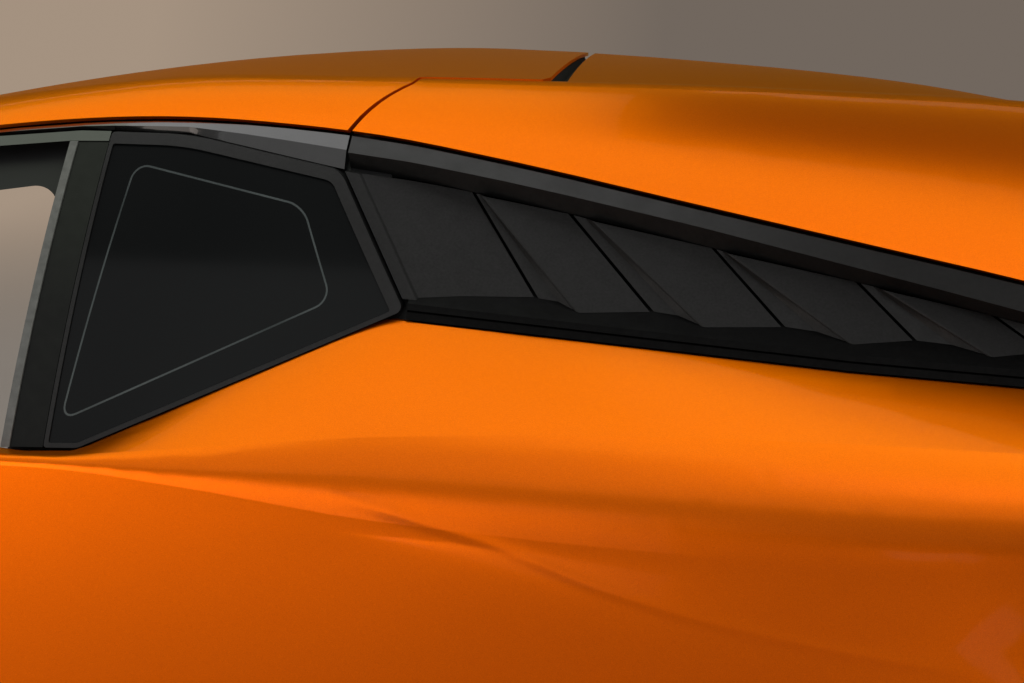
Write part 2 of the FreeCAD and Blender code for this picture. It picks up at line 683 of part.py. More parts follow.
# station x, height of the lower edge, which follows the drip strip and then the window moulding
CANT_COVER = [
    (-330, 1049.5), (-130, 1089.5), (0, 1098.6), (31, 1098.2), (75, 1096.4), (110, 1095.6), (167, 1084.2), (251, 1067.2),
    (275, 1062.6),
]


def cant_profile(x):
    """Cover under the roof edge: an upper facet out to the ridge, then a lower facet that turns under."""
    high, low = roof_edge(x) - 3, between(CANT_COVER, x, 1)
    ridge = high + (low - high) * 0.42
    return [behind(x, high, 0), behind(x, ridge, -2), behind(x, low, 3), behind(x, low, BASE), behind(x, high, BASE)]


COVER_STATIONS = [-330, -280, -230, -180, -130, -65, 0, 31, 75, 110, 167, 210, 251, 275]
keep_shape("cant_rail_cover", run_moulding(COVER_STATIONS, cant_profile))

# station x, drop of the rail's ridge below the roof edge, drop of its lower edge
RAIL = [(278, 18, 36), (440, 17, 36), (630, 17, 36), (800, 21, 36), (940, 25, 38), (1180, 22, 36)]


def rail_profile(x):
    """Rail over the louvres: upper facet, ridge and an undercut lower facet that shades the louvres."""
    line = roof_edge(x)
    ridge, low = between(RAIL, x, 1), between(RAIL, x, 2)
    undercut = size("rail_undercut")
    return [behind(x, line - 3, -1), behind(x, line - ridge, -5), behind(x, line - low, undercut),
            behind(x, line - low + 8, undercut + 1), behind(x, line - low + 10.5, BASE), behind(x, line - 3, BASE)]


RAIL_STATIONS = [278, 338, 358, 400, 440, 500, 565, 630, 715, 777, 800, 870, 940, 1020, 1100, 1180]
keep_shape("vent_rail", run_moulding(RAIL_STATIONS, rail_profile).cut(frame_block))


def rail_zone(x):
    """Space that the rail shuts off above the louvres, with a seat gap."""
    line = roof_edge(x)
    low = between(RAIL, x, 2)
    return [behind(x, line + 60, -30), behind(x, line - low - seat, -30),
            behind(x, line - low - seat, 60), behind(x, line + 60, 60)]


def sill_ridge(x):
    """Top of the sill moulding, in front of the ledge."""
    return behind(x, waist(x) + size("sill_height"), -2)


def sill_profile(x):
    """Moulding under the louvres: lower face, groove, rounded ridge, then the ledge that the louvres stand on."""
    line = waist(x)
    ridge = sill_ridge(x)
    ledge_end = ridge + Vector(0, size("ledge_reach"), size("ledge_rise"))
    return [behind(x, line + 2, -1), behind(x, line + 8.5, -1.5), behind(x, line + 9.5, 1),
            behind(x, line + 10.5, -2.5), ridge + Vector(0, -2, -2.5), ridge, ledge_end, ledge_end - Vector(0, 0, 3),
            behind(x, line + 13, BASE), behind(x, line + 2, BASE)]


def ledge_zone(x):
    """Space under the ledge's top face, with a seat gap."""
    ridge = sill_ridge(x) + Vector(0, 0, seat)
    slope = size("ledge_rise") / size("ledge_reach")
    return [ridge - Vector(0, 60, 60 * slope), ridge + Vector(0, 80, 80 * slope),
            ridge + Vector(0, 80, -150), ridge - Vector(0, 60, 150)]


zone_stations = [240] + RAIL_STATIONS + [1300]
above_louvres = run_moulding(zone_stations, rail_zone)
below_louvres = run_moulding(zone_stations, ledge_zone)
sill = run_moulding(RAIL_STATIONS[2:], sill_profile)
keep_shape("vent_sill", sill.cut(above_louvres).cut(frame_block))


# Tail finisher: the black wedge where rail and sill run together behind the last louvre

def tail_profile(x):
    """Solid wedge between the roof edge and the waist, with the rail's ridge running out along it."""
    top, low = roof_edge(x) - 3, waist(x) + 2
    middle = (top + low) / 2
    return [behind(x, top, -1), behind(x, middle, -3), behind(x, low, -1), behind(x, low, BASE), behind(x, top, BASE)]


keep_shape("vent_tail_finisher", run_moulding([1183, 1240, 1300, 1360, 1405], tail_profile))


# Louvre slats: each is a bent plate whose ridge stands proud, whose face falls back towards the tail, and whose
# throat turns inboard ahead of the ridge. The slats fan out, and each is cut to the rail and the ledge.

def at_height(high, low, z):
    """x of the line through two side-view points at a height."""
    share = (z - low[1]) / (high[1] - low[1])
    return low[0] + (high[0] - low[0]) * share


def bent_plate(z_low, z_high, section_at):
    """Ruled solid between two heights; section_at gives the (x, depth) points of a height."""
    sections = []
    for z in (z_low, z_high):
        spots = [on_glass(x, z, depth) for x, depth in section_at(z)]
        sections.append(polygon([Vector(spot.x, spot.y, z) for spot in spots]))
    return loft(sections, ruled=True).cut(above_louvres).cut(below_louvres)


# ridge foot x and z, ridge head x and z, heel foot x and z, heel head x and z
SLATS = [
    (514, 941, 419, 1035, 579, 944, 517, 1006), (632, 930, 526, 1017, 703, 933, 644, 991),
    (769, 917, 651, 994, 826, 922, 772, 972), (899, 906, 790, 968, 946, 911, 893, 946),
    (1020, 896, 915, 948, 1058, 900, 1010, 926),
]
RISER_SHARE = 0.4
PILLAR_REAR = ((413, 1028), (470, 954))
ridge_depth, heel_depth = size("slat_ridge_depth"), size("slat_heel_depth")
slat_gauge, slit = size("slat_gauge"), size("slit_width")
strip_depth = heel_depth - size("slat_strip_drop")
previous_heel = PILLAR_REAR
for number, slat in enumerate(SLATS, start=1):
    ridge_line = (slat[2:4], slat[0:2])
    heel_line = (slat[6:8], slat[4:6])
    z_low, z_high = waist(slat[0]) + 13, roof_edge(slat[2]) - 30

    def slat_section(z):
        """Heel, rounded ridge, riser and strip of the slat at a height, then back along the plate's inner face."""
        ridge, heel = at_height(*ridge_line, z), at_height(*heel_line, z)
        strip_front = at_height(*previous_heel, z) + slit
        run = max(ridge - strip_front, 5)
        strip_rear = ridge - max(RISER_SHARE * run, 2.5)
        front = [(heel, heel_depth), (ridge + 4, ridge_depth), (ridge + 1.6, ridge_depth - 0.2),
                 (ridge - 0.6, ridge_depth + 0.9), (ridge - 2, ridge_depth + 3.2),
                 (strip_rear, strip_depth - 0.5), (ridge - run, strip_depth + 1)]
        back = moved_in([Vector(0, x, depth) for x, depth in front], slat_gauge)
        return front + [(spot.y, spot.z) for spot in reversed(back)]

    keep_shape(f"vent_slat_{number}", bent_plate(z_low, z_high, slat_section))
    previous_heel = heel_line


# Pillar cover: raised rim beside the window, then a face that folds in towards the first louvre

def pillar_section(z):
    """Rim, fold and rear edge of the pillar cover at a height, with a foot under the rim."""
    rim = at_height((276, 1062), (358, 938), z)
    fold = at_height((347, 1046), (406, 951), z)
    rear = at_height(*PILLAR_REAR, z)
    return [(rear, 24), (fold, 13), (rim + 15, 3), (rim + 13, -1), (rim, -1), (rim, BASE), (rim + 7, BASE),
            (rim + 8, 6), (fold - 2, 13 + slat_gauge), (rear, 24 + slat_gauge)]


keep_shape("vent_pillar_cover", bent_plate(920, 1078, pillar_section))

# Back plate behind the louvres

back_depth = web_depth + seat
back_face = Part.Face(inset(vent_wire, -12))
keep_shape("vent_back_plate", barrel_sheet(back_face, back_depth, back_depth + size("back_plate_gauge")))


# Inner structure, drawn as bodies

def origin_plane(body, role):
    """Origin plane of a body by its role."""
    for feature in body.Origin.OriginFeatures:
        if feature.Role == role:
            return feature
    raise ValueError(role)


def sketch_on(body, role, name):
    """Empty sketch on one of the body's origin planes."""
    sketch = body.newObject("Sketcher::SketchObject", name)
    sketch.AttachmentSupport = [(origin_plane(body, role), "")]
    sketch.MapMode = "FlatFace"
    return sketch


def constrain(sketch, constraint, expression):
    """Adds a sized constraint that follows an expression of the sheet's sizes."""
    index = sketch.addConstraint(constraint)
    sketch.setExpression(f"Constraints[{index}]", expression)


def rectangle(sketch, left, right, low, high):
    """Rectangle whose four sides follow expressions."""
    first = sketch.GeometryCount
    corners = [Vector(-20, -20), Vector(20, -20), Vector(20, 20), Vector(-20, 20)]
    for i in range(4):
        sketch.addGeometry(Part.LineSegment(corners[i], corners[(i + 1) % 4]))
    for i in range(4):
        sketch.addConstraint(Sketcher.Constraint("Coincident", first + i, 2, first + (i + 1) % 4, 1))
    for i, kind in enumerate(("Horizontal", "Vertical", "Horizontal", "Vertical")):
        sketch.addConstraint(Sketcher.Constraint(kind, first + i))
    constrain(sketch, Sketcher.Constraint("DistanceX", -1, 1, first, 1, -20), left)
    constrain(sketch, Sketcher.Constraint("DistanceX", -1, 1, first + 1, 1, 20), right)
    constrain(sketch, Sketcher.Constraint("DistanceY", -1, 1, first, 1, -20), low)
    constrain(sketch, Sketcher.Constraint("DistanceY", -1, 1, first + 2, 1, 20), high)


def circle(sketch, across, up, radius, guess=(10, 10)):
    """Circle whose centre and radius follow expressions."""
    index = sketch.addGeometry(Part.Circle(Vector(*guess, 0), Vector(0, 0, 1), 5))
    constrain(sketch, Sketcher.Constraint("DistanceX", -1, 1, index, 3, guess[0]), across)
    constrain(sketch, Sketcher.Constraint("DistanceY", -1, 1, index, 3, guess[1]), up)
    constrain(sketch, Sketcher.Constraint("Radius", index, 5), radius)


def bolt_circles(sketch, half_across, half_up, radius):
    """Four circles about the sketch's origin."""
    for sign_x in (-1, 1):
        for sign_y in (-1, 1):
            across, up = f"{sign_x} * ({half_across})", f"{sign_y} * ({half_up})"
            circle(sketch, across, up, radius, (sign_x * 25, sign_y * 60))


def pad(body, sketch, name, length, reverse=False):
    """Pad of a sketch by an expression."""
    feature = body.newObject("PartDesign::Pad", name)
    feature.Profile = sketch
    feature.setExpression("Length", length)
    feature.Reversed = reverse
    doc.recompute()
    return feature


def pocket(body, sketch, name, length):
    """Pocket by an expression, cut to whichever side removes material."""
    before = body.Shape.Volume
    feature = body.newObject("PartDesign::Pocket", name)
    feature.Profile = sketch
    feature.setExpression("Length", length)
    doc.recompute()
    if body.Shape.Volume > before - 1:
        feature.Reversed = True
        doc.recompute()
    if body.Shape.Volume > before - 1:
        raise RuntimeError(f"{name} removes nothing")
    return feature


# B-post: a box-section post whose inboard wall is the chassis flange. Drawn about the flange's centre.

post = doc.addObject("PartDesign::Body", "BPost")
plan = sketch_on(post, "XY_Plane", "PostSection")
plan.setExpression("AttachmentOffset.Base.z", "Sizes.post_foot_z - Sizes.flange_z")
rectangle(plan, "-Sizes.post_length / 2", "Sizes.post_length / 2", "-Sizes.post_reach", "0")
post_pad = pad(post, plan, "PostPad", "Sizes.post_top_z - Sizes.post_foot_z - Sizes.seat_gap")
half_x = size("post_length") / 2
outer_edges = []
for index, edge in enumerate(post.Shape.Edges, start=1):
    box = edge.BoundBox
    if box.ZLength > 100 and box.YMax < -1:
        outer_edges.append(f"Edge{index}")
rounding = post.newObject("PartDesign::Fillet", "PostRounding")
rounding.Base = (post_pad, outer_edges)
rounding.setExpression("Radius", "Sizes.post_round")
doc.recompute()
core = sketch_on(post, "XY_Plane", "PostCore")
core.setExpression("AttachmentOffset.Base.z", "Sizes.post_foot_z - Sizes.flange_z")
rectangle(core, "-Sizes.post_length / 2 + Sizes.post_gauge", "Sizes.post_length / 2 - Sizes.post_gauge",
          "-Sizes.post_reach + Sizes.post_gauge", "-Sizes.post_flange")
pocket(post, core, "PostHollow", "Sizes.post_top_z - Sizes.post_foot_z + 10")
bolts = sketch_on(post, "XZ_Plane", "FlangeBolts")
bolt_circles(bolts, "Sizes.bolt_pitch_x / 2", "Sizes.bolt_pitch_z / 2", "Sizes.bolt_radius")
pocket(post, bolts, "FlangeHoles", "Sizes.post_flange + 2")
keep(post, "b_post", at=Vector(0, 0, 0))

# Door striker on the post's front face: plate and bent bar

post_front_x = size("flange_x") - half_x
striker = doc.addObject("PartDesign::Body", "Striker")
plate_sketch = sketch_on(striker, "YZ_Plane", "StrikerPlateOutline")
rectangle(plate_sketch, "-Sizes.striker_span / 2 - 14", "Sizes.striker_span / 2 + 14", "-14", "14")
pad(striker, plate_sketch, "StrikerPlate", "Sizes.striker_plate")
reach, half_span, turn = size("striker_reach"), size("striker_span") / 2, 8
path = sketch_on(striker, "XY_Plane", "StrikerPath")
path.addGeometry([
    Part.LineSegment(Vector(1, half_span), Vector(-reach + turn, half_span)),
    Part.ArcOfCircle(Part.Circle(Vector(-reach + turn, half_span - turn), Vector(0, 0, 1), turn), math.pi / 2, math.pi),
    Part.LineSegment(Vector(-reach, half_span - turn), Vector(-reach, -half_span + turn)),
    Part.ArcOfCircle(Part.Circle(Vector(-reach + turn, -half_span + turn), Vector(0, 0, 1), turn), math.pi, 1.5 * math.pi),
    Part.LineSegment(Vector(-reach + turn, -half_span), Vector(1, -half_span)),
])
bar = sketch_on(striker, "YZ_Plane", "StrikerBarSection")
bar.setExpression("AttachmentOffset.Base.z", "1")
circle(bar, "Sizes.striker_span / 2", "0", "Sizes.striker_bar / 2", (17, 0))
sweep = striker.newObject("PartDesign::AdditivePipe", "StrikerBar")
sweep.Profile = bar
sweep.Spine = path
doc.recompute()
striker_at = Vector(post_front_x - size("striker_plate") - seat, -800, size("striker_z"))
keep(striker, "door_striker", at=ORIGIN_SHIFT + striker_at)

# Wheel arch liner: half tube over the wheel, seated behind the arch lip

panel_y = size("inner_panel_y")
liner_front, liner_back = lip_face, panel_y - seat
liner_zone = outside_wing(size("skin_thick") + size("arch_lip_width") + seat)
liner = arch_cylinder(lip_outer, liner_front, liner_back)
liner = liner.cut(arch_cylinder(lip_outer - size("liner_gauge"), liner_front - 5, liner_back + 5)).cut(low_zone)
keep_shape("wheel_arch_liner", liner.cut(liner_zone))

# Inner wing panel: flat panel inboard of the wheel, with the drive shaft's clearance hole

bulkhead_x = size("flange_x") + half_x + seat
panel_front = bulkhead_x + size("bulkhead_gauge") + seat
panel_rear = END_PANEL_X - seat
foot_z = size("wing_foot_z")
PANEL = [
    (panel_front, foot_z, 0), (panel_rear, foot_z, 0), (panel_rear, 800, 0), (1420, 808.6, 0), (777, 846.6, 0),
    (338, 882.4, 0), (panel_front + 5, 786, 0), (panel_front, 786, 0),
]
inner_face = Part.Face(rounded(PANEL))
inner_panel = side_prism(inner_face, panel_y, panel_y + size("inner_panel_gauge"))
inner_panel = inner_panel.cut(arch_cylinder(size("drive_shaft_radius"), panel_y - 20, panel_y + 20))
keep_shape("inner_wing_panel", inner_panel)

# Bulkhead panel that joins the post to the inner wing panel

bulkhead = Part.makeBox(size("bulkhead_gauge"), 880 - 600, 785 - foot_z, Vector(bulkhead_x, -880, foot_z))
keep_shape("cabin_bulkhead", bulkhead)

# Shoulder shelf: sheet under the side frame's lower edge, out to the inner wing panel

shelf_low = size("shelf_gauge") + seat
shelf_top = side_view((1420, 812 - seat), (777, 850 - seat), (338, 886 - seat))
shelf_foot = side_view((338, 886 - shelf_low), (777, 850 - shelf_low), (1420, 812 - shelf_low))
shelf = side_prism(Part.Face(polygon(shelf_top + shelf_foot)), -822, panel_y + 6)
keep_shape("shoulder_shelf", shelf)

# Rear end panel: closes the wing behind the wheel and carries the bumper's bolts

end_panel = doc.addObject("PartDesign::Body", "EndPanel")
end_outline = sketch_on(end_panel, "YZ_Plane", "EndOutline")
rectangle(end_outline, "-140", "140", "-240", "240")
pad(end_panel, end_outline, "EndPad", "Sizes.end_panel_gauge")
end_bolts = sketch_on(end_panel, "YZ_Plane", "EndBolts")
bolt_circles(end_bolts, "Sizes.end_bolt_pitch_y / 2", "Sizes.end_bolt_pitch_z / 2", "Sizes.end_bolt_radius")
pocket(end_panel, end_bolts, "EndHoles", "Sizes.end_panel_gauge + 2")
keep(end_panel, "rear_end_panel", at=ORIGIN_SHIFT + Vector(END_PANEL_X, -744, foot_z + 240))

# Side intake: duct behind the opening in the wing, and turning vanes across it

outside = outside_wing(1)
duct_back_y = -905 + size("intake_depth")
duct_wire = inset(intake_wire, seat)
bore_wire = inset(intake_wire, seat + size("duct_gauge"))
duct = side_prism(face_of(duct_wire, bore_wire), -960, duct_back_y).cut(outside)
keep_shape("intake_duct", duct)
vane_space = side_prism(Part.Face(inset(bore_wire, seat)), -960, duct_back_y)
chord, thick = size("vane_chord"), size("vane_thick")
for number in range(1, 4):
    middle = Vector(intake_front - 20, -835, (intake_low + intake_top) / 2 + (number - 2) * size("vane_pitch"))
    nose, tail = middle + Vector(0, -chord / 2, -7), middle + Vector(0, chord / 2, 7)
    upper = middle + Vector(0, -6, thick * 0.8)
    lower = middle + Vector(0, -2, -thick * 0.2)
    blade = Part.Wire([
        Part.Arc(nose + Vector(0, 0.4, 1.5), upper, tail + Vector(0, -0.5, 1)).toShape(),
        Part.Arc(tail + Vector(0, -0.5, 1), tail, tail + Vector(0, -0.5, -1)).toShape(),
        Part.Arc(tail + Vector(0, -0.5, -1), lower, nose + Vector(0, 0.4, -1.5)).toShape(),
        Part.Arc(nose + Vector(0, 0.4, -1.5), nose + Vector(0, -0.8, 0), nose + Vector(0, 0.4, 1.5)).toShape(),
    ])
    vane = Part.Face(blade).extrude(Vector(intake_rear - intake_front + 40, 0, 0))
    keep_shape(f"intake_vane_{number}", vane.common(vane_space))

doc.recompute()

# Check every sub-part before anything is written

os.makedirs("parts", exist_ok=True)
for obj in doc.Objects:
    if "Invalid" in obj.State or "Error" in obj.State:
        raise RuntimeError(f"{obj.Label} failed to build: {obj.State}")
for obj in pieces:
    print(f"{obj.Label}: {len(obj.Shape.Solids)} solid, {obj.Shape.Volume / 1000:.1f} cm3")
    if obj.Shape.isNull() or not obj.Shape.isValid() or not obj.Shape.Solids:
        raise RuntimeError(f"{obj.Label} has no valid solid")
for obj in pieces:
    obj.Shape.exportStep(f"parts/{obj.Label}.step")
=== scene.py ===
"""Dressed model of a mid-engined supercar's left rear quarter: painted skins over a pressed frame, a tinted
quarter window and a louvred engine-bay vent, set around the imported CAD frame."""
import json
import math

import bmesh
import bpy
from mathutils import Matrix, Vector

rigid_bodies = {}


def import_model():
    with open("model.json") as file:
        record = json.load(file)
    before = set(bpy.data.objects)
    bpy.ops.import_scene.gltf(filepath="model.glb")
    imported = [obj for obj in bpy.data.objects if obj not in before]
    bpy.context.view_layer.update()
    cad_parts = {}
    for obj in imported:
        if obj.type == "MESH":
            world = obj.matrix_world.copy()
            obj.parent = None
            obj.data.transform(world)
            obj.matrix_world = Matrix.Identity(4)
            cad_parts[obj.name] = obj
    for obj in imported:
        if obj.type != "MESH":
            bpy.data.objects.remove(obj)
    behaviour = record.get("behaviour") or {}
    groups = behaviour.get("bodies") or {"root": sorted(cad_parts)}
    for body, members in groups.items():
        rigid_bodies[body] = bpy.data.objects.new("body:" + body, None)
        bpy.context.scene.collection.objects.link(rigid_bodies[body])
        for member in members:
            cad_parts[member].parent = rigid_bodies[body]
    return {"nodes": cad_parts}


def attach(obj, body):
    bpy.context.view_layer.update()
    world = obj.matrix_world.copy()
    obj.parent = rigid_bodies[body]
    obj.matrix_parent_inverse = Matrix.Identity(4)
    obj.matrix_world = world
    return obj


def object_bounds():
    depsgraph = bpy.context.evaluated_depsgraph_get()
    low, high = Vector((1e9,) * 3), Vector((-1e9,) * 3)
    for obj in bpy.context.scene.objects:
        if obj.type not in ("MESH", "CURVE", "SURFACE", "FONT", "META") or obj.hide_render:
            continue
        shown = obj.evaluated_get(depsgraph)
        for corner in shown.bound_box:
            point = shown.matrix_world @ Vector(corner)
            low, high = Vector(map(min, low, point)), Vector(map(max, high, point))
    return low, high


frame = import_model()
nodes = frame["nodes"]
cad_box = [list(corner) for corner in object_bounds()]

# Studio: one sheet of pale warm paper is the floor and sweeps up behind the section. Far back, the paper
# glows for the camera alone, lighter at left than at right: painted light on the backdrop. Cloth ceilings
# light the section's upper skins, and four tall panels at the front left light its side, which darkens
# towards the tail. Some lamps are flagged so that they light only the floor, the skins or the vent.


def new_material(name):
    """Empty node material; returns it with its node tree and its Principled shader."""
    material = bpy.data.materials.new(name)
    material.use_nodes = True
    return material, material.node_tree, material.node_tree.nodes["Principled BSDF"]


def set_shader(shader, **values):
    """Sets the shader's own sockets; an underscore in a name stands for a space."""
    for name, value in values.items():
        shader.inputs[name.replace("_", " ")].default_value = value


def object_noise(tree, scale, detail=2.0, stretch=(1, 1, 1)):
    """Noise on object coordinates, in features per metre."""
    spot = tree.nodes.new("ShaderNodeTexCoord")
    mapping = tree.nodes.new("ShaderNodeMapping")
    mapping.inputs["Scale"].default_value = stretch
    tree.links.new(spot.outputs["Object"], mapping.inputs["Vector"])
    noise = tree.nodes.new("ShaderNodeTexNoise")
    noise.inputs["Scale"].default_value = scale
    noise.inputs["Detail"].default_value = detail
    tree.links.new(mapping.outputs["Vector"], noise.inputs["Vector"])
    return noise


def ramp_to(tree, source, socket, low, high, start=0.3, end=0.7):
    """Feeds a socket from a texture through a ramp between two colours or greys."""
    ramp = tree.nodes.new("ShaderNodeValToRGB")
    ramp.color_ramp.elements[0].position = start
    ramp.color_ramp.elements[1].position = end
    for element, value in zip(ramp.color_ramp.elements, (low, high)):
        element.color = (*value, 1) if isinstance(value, tuple) else (value, value, value, 1)
    tree.links.new(source.outputs[0], ramp.inputs["Fac"])
    tree.links.new(ramp.outputs["Color"], socket)


def object_axes(tree):
    """Node whose outputs X, Y and Z are the object coordinates."""
    spot = tree.nodes.new("ShaderNodeTexCoord")
    axes = tree.nodes.new("ShaderNodeSeparateXYZ")
    tree.links.new(spot.outputs["Object"], axes.inputs["Vector"])
    return axes


def stretch_over(tree, value, start, end, low=0.0, high=1.0):
    """Node that goes from low to high as a value goes from start to end."""
    reach = tree.nodes.new("ShaderNodeMapRange")
    reach.inputs["From Min"].default_value, reach.inputs["From Max"].default_value = start, end
    reach.inputs["To Min"].default_value, reach.inputs["To Max"].default_value = low, high
    tree.links.new(value, reach.inputs["Value"])
    return reach


def sum_of(tree, operation, first, second=None):
    """Math node on one or two inputs, each a socket or a number; returns its output."""
    step = tree.nodes.new("ShaderNodeMath")
    step.operation = operation
    for socket, value in zip(step.inputs, (first, second)):
        if isinstance(value, bpy.types.NodeSocket):
            tree.links.new(value, socket)
        elif value is not None:
            socket.default_value = value
    return step.outputs["Value"]


def softbox(name, place, aim, width, height, radiance, only=None, tint=(1, 1, 1)):
    """Area lamp at a place, aimed at a point, with the radiance of its cloth; lights one group if given."""
    lamp = bpy.data.lights.new(name, "AREA")
    lamp.shape = "RECTANGLE"
    lamp.size, lamp.size_y = width, height
    lamp.energy = radiance * math.pi * width * height
    lamp.color = tint
    carrier = bpy.data.objects.new(name, lamp)
    carrier.location = place
    carrier.visible_camera = False
    if only:
        carrier.light_linking.receiver_collection = only
    carrier.rotation_euler = (Vector(aim) - Vector(place)).to_track_quat("-Z", "Y").to_euler()
    bpy.context.collection.objects.link(carrier)


def cloth_ceiling(name, x, y, width, depth, radiance, only=None, tint=(1, 1, 1), height=1.6):
    """Softbox that hangs over a spot and faces straight down."""
    softbox(name, (x, y, height), (x, y, 0), width, depth, radiance, only, tint)


floor_z = cad_box[0][2] - 0.0005
half_width, near_y, wall_y, wall_top, bend_radius = 14, -12, 9, 7, 1.5
sweep = bmesh.new()
corners = ((wall_y, wall_top), (wall_y, floor_z), (near_y, floor_z))
profile = [sweep.verts.new((-half_width, y, z)) for y, z in corners]
for start, end in zip(profile, profile[1:]):
    sweep.edges.new((start, end))
bmesh.ops.bevel(sweep, geom=[profile[1]], offset=bend_radius, segments=16, profile=0.5, affect="VERTICES",
                material=-1)
side = bmesh.ops.extrude_edge_only(sweep, edges=sweep.edges[:])
far_side = [vert for vert in side["geom"] if isinstance(vert, bmesh.types.BMVert)]
bmesh.ops.translate(sweep, verts=far_side, vec=(2 * half_width, 0, 0))
bmesh.ops.recalc_face_normals(sweep, faces=sweep.faces[:])
mesh = bpy.data.meshes.new("studio_sweep")
sweep.to_mesh(mesh)
sweep.free()
mesh.shade_smooth()

paper, tree, shader = new_material("studio_paper")
set_shader(shader, Roughness=0.9, Specular_IOR_Level=0.1)
ramp_to(tree, object_noise(tree, 0.8), shader.inputs["Base Color"], (0.50, 0.45, 0.40), (0.53, 0.48, 0.43))
axes = object_axes(tree)
across = stretch_over(tree, axes.outputs["X"], -3.4, 0.6)
# Painted light: far back, the paper glows for camera rays, and the glow fades from left to right.
backdrop_painted_light = tree.nodes.new("ShaderNodeEmission")
ramp_to(tree, across, backdrop_painted_light.inputs["Color"], (0.37, 0.285, 0.215), (0.165, 0.135, 0.112), 0.15, 0.85)
away = stretch_over(tree, axes.outputs["Y"], 2.0, 6.5)
away.interpolation_type = "SMOOTHSTEP"
seen = tree.nodes.new("ShaderNodeLightPath")
blend = tree.nodes.new("ShaderNodeMixShader")
share = sum_of(tree, "MULTIPLY", away.outputs["Result"], seen.outputs["Is Camera Ray"])
tree.links.new(share, blend.inputs["Fac"])
tree.links.new(shader.outputs["BSDF"], blend.inputs[1])
tree.links.new(backdrop_painted_light.outputs["Emission"], blend.inputs[2])
tree.links.new(blend.outputs["Shader"], tree.nodes["Material Output"].inputs["Surface"])
mesh.materials.append(paper)
studio = bpy.data.objects.new("studio_sweep", mesh)
bpy.context.collection.objects.link(studio)

lit_section = bpy.data.collections.new("lit_section")
lit_lower = bpy.data.collections.new("lit_lower")
lit_skins = bpy.data.collections.new("lit_skins")
lit_vent = bpy.data.collections.new("lit_vent")
lit_floor = bpy.data.collections.new("lit_floor")
lit_floor.objects.link(studio)
green_cloth, warm_cloth = (1, 1.14, 0.9), (1, 0.88, 0.8)
cloth_ceiling("floor_ceiling", 0.7, 0.25, 6.0, 1.4, 0.9, lit_floor)
cloth_ceiling("ceiling_front", -0.85, -0.15, 3.0, 0.6, 0.9, lit_skins, green_cloth)
cloth_ceiling("vent_ceiling", 0.15, 0.30, 1.3, 0.5, 1.5, lit_vent)
cloth_ceiling("ceiling_tail", 2.25, -0.15, 3.2, 0.6, 0.85, lit_skins, green_cloth)
cloth_ceiling("ceiling_left", -0.9, 0.55, 2.8, 0.8, 0.8, lit_section, green_cloth)
cloth_ceiling("ceiling_right", 2.1, 0.55, 3.2, 0.8, 1.0, lit_lower, green_cloth)
cloth_ceiling("front_ceiling", 0.7, -1.5, 6.0, 2.1, 0.52)
softbox("front_wall", (0.7, -3.6, 1.3), (0.7, 0, 1.3), 7.0, 2.2, 0.12)
cloth_ceiling("tail_ceiling", 2.2, -0.85, 3.2, 0.8, 0.5, height=1.58)
softbox("floor_wash", (0.7, 3.4, 3.2), (0.7, 5.0, 0), 9.0, 1.2, 1.2)
panel_y, panel_height = -1.35, 0.92
panels = ((-2.4, -0.8, 2.9), (-0.8, -0.35, 1.9), (-0.35, 0.05, 1.2), (0.05, 0.42, 0.6))
for number, (left, right, radiance) in enumerate(panels, 1):
    centre = (left + right) / 2
    softbox(f"front_panel_{number}", (centre, panel_y, 0), (centre, 0, 0), right - left, panel_height,
            radiance, lit_section, warm_cloth)
softbox("vent_light", (-1.6, -0.72, 0.42), (0.5, 0, 0.46), 0.6, 0.5, 4.0, lit_vent)
softbox("flare_light", (0.76, -1.35, 0.02), (0.87, -0.25, 0.2), 0.16, 0.10, 1.6, lit_section, warm_cloth)
world = bpy.data.worlds.new("studio")
world.use_nodes = True
world.node_tree.nodes["Background"].inputs["Color"].default_value = (0.5, 0.48, 0.46, 1)
world.node_tree.nodes["Background"].inputs["Strength"].default_value = 0.45
bpy.context.scene.world = world
bpy.context.scene.view_settings.view_transform = "Standard"

# Camera: a long lens beside the section, a little above the roof crest. It looks down on the vent by some ten
# degrees, and is turned a little towards the nose.

camera = bpy.data.objects.new("camera", bpy.data.cameras.new("camera"))
camera.data.sensor_width = 36
camera.data.lens = 70.3125
camera.data.clip_start, camera.data.clip_end = 0.05, 60
camera.location = (0.68947, -1.91302, 0.75667)
camera.rotation_euler = (math.radians(80.1), 0, math.radians(8))
bpy.context.collection.objects.link(camera)
bpy.context.scene.camera = camera

# Inner structure: post, bulkhead, inner and end panels and cant rails, pressed from sheet and bonded, then
# dipped in a grey electrocoat primer that leaves a faint cloudiness and a satin face.


def bump_from(tree, shader, source, strength, distance, socket="Normal", under=None):
    """Bump of a given depth in metres from a texture, on top of another bump if there is one."""
    bump = tree.nodes.new("ShaderNodeBump")
    bump.inputs["Strength"].default_value = strength
    bump.inputs["Distance"].default_value = distance
    tree.links.new(source.outputs[0], bump.inputs["Height"])
    if under:
        tree.links.new(under.outputs["Normal"], bump.inputs["Normal"])
    tree.links.new(bump.outputs["Normal"], shader.inputs[socket])
    return bump


def dress(material, *names):
    """Gives CAD nodes a finish in all their material slots."""
    for name in names:
        mesh = nodes[name].data
        if not mesh.materials:
            mesh.materials.append(material)
        for i in range(len(mesh.materials)):
            mesh.materials[i] = material


def cloudy_coat(name, thin, thick, specular):
    """Satin coat that is thin and thick in clouds, with the fine grain of the sheet under it."""
    coat, tree, shader = new_material(name)
    set_shader(shader, Specular_IOR_Level=specular)
    cloud = object_noise(tree, 14, 4)
    ramp_to(tree, cloud, shader.inputs["Base Color"], thin, thick)
    ramp_to(tree, cloud, shader.inputs["Roughness"], 0.42, 0.56)
    bump_from(tree, shader, object_noise(tree, 700, 2), 0.15, 0.0002)
    return coat


